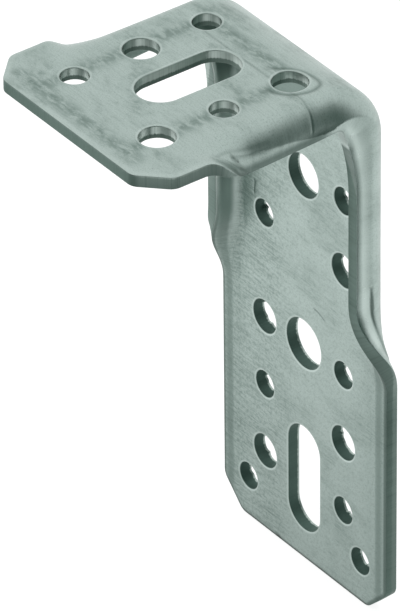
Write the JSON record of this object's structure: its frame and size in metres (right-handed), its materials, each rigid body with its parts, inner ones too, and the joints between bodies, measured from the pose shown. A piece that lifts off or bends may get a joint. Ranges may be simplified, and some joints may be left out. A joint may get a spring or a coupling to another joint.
{
  "type": "angle anchor",
  "caption": "Galvanised steel angle anchor folded from one sheet, with turned-in stiffening sides, nail and screw holes, anchor bolt holes and slots on both legs.",
  "frame": {"origin": "the heel: where the outer faces of the two legs would meet, at mid width", "axes": "+X across the width, +Y out of the long leg's outer face, +Z out of the short leg's outer face, with the long leg hanging down"},
  "size_m": [0.0458, 0.05, 0.1065],
  "materials": {
    "galvanised_steel": "galvanised, dull satin"
  },
  "bodies": {
    "root": {"angle_anchor": "galvanised_steel"}
  },
  "joints": []
}
